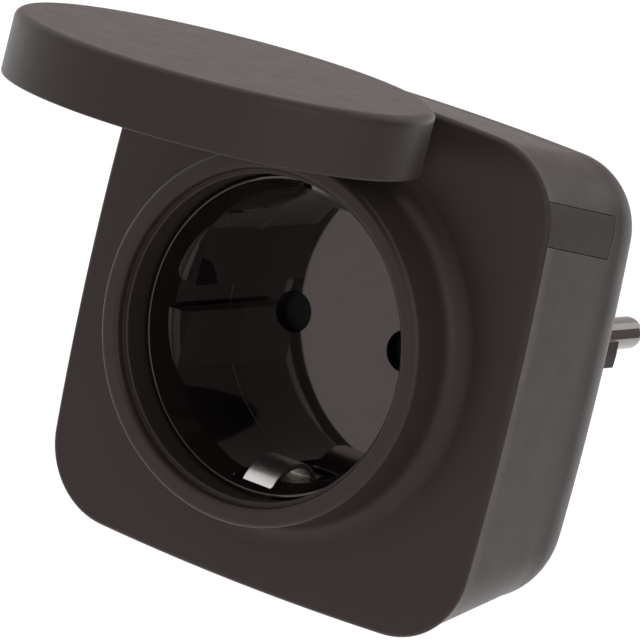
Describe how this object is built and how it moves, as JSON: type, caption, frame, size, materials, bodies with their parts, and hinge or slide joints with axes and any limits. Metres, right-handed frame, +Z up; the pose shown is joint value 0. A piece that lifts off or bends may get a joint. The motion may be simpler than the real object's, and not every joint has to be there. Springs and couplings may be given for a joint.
{
  "type": "smart plug adaptor",
  "caption": "Splash-proof smart plug adaptor: square body with rounded corners, a collared earthed socket under a round flip lid, a side button and an earthed pin plug at the back.",
  "frame": {"origin": "centre of the plug's contact face, the face that meets a wall socket's floor", "axes": "+Y the way the plug pins point, +Z up towards the lid's hinge, +X to the right as seen from the socket side"},
  "size_m": [0.0716, 0.1369, 0.0765],
  "materials": {
    "housing_plastic": "satin moulded plastic, warm anthracite",
    "lid_plastic": "satin moulded plastic, warm anthracite",
    "socket_plastic": "polished black moulding",
    "plug_plastic": "fine satin moulding",
    "button_plastic": "matt moulding",
    "shutter_plastic": "matt black moulding",
    "guide_plastic": "natural moulding",
    "gasket_rubber": "soft black rubber",
    "pin_metal": "nickel plated",
    "earth_metal": "nickel plated spring metal",
    "hinge_steel": "drawn steel",
    "spring_steel": "spring wire",
    "contact_brass": "bare",
    "screw_steel": "zinc plated",
    "board_laminate": "green laminate",
    "relay_case": "moulded case",
    "film_case": "moulded case",
    "can_sleeve": "shrunk sleeve",
    "choke_winding": "varnished winding",
    "varistor_coat": "dipped coating",
    "fuse_body": "sleeved",
    "radio_can": "tinned can on a board",
    "switch_case": "moulded",
    "led_lens": "clear moulding"
  },
  "bodies": {
    "base": {"front_cover": "housing_plastic", "rear_housing": "housing_plastic", "body_gasket": "gasket_rubber", "hinge_pin": "hinge_steel", "socket_insert": "socket_plastic", "insert_screws": "screw_steel", "shutter_guide": "guide_plastic", "shutter_spring": "spring_steel", "earth_bracket": "earth_metal", "socket_contact_left": "contact_brass", "socket_contact_right": "contact_brass", "plug_base": "plug_plastic", "plug_pin_left": "pin_metal", "plug_pin_right": "pin_metal", "plug_earth_strap": "earth_metal", "earth_tube": "contact_brass", "earth_link": "contact_brass", "base_screws": "screw_steel", "circuit_board": "board_laminate", "relay": "relay_case", "film_capacitor": "film_case", "smoothing_capacitor": "can_sleeve", "choke": "choke_winding", "varistor": "varistor_coat", "fuse": "fuse_body", "radio_module": "radio_can", "button_board": "board_laminate", "tact_switch": "switch_case", "status_led": "led_lens", "button_seal": "gasket_rubber", "housing_screws": "screw_steel"},
    "lid": {"flip_lid": "lid_plastic", "lid_seal": "gasket_rubber"},
    "shutter": {"shutter": "shutter_plastic"},
    "button": {"side_button": "button_plastic"}
  },
  "joints": [
    {"name": "lid_hinge", "type": "hinge", "parent": "base", "child": "lid", "pos_m": [0, -0.06, 0.0296], "axis": [-1, 0, 0], "range_deg": [-92.3, 12]},
    {"name": "shutter_slide", "type": "slide", "parent": "base", "child": "shutter", "axis": [0, 0, -1], "range_m": [0, 0.0066], "stiffness_N_per_m": 60, "springref_m": -0.002, "deforming": ["shutter_spring"]},
    {"name": "button_press", "type": "slide", "parent": "base", "child": "button", "axis": [-1, 0, 0], "range_m": [0, 0.0005], "stiffness_N_per_m": 2000, "springref_m": -0.0004}
  ]
}
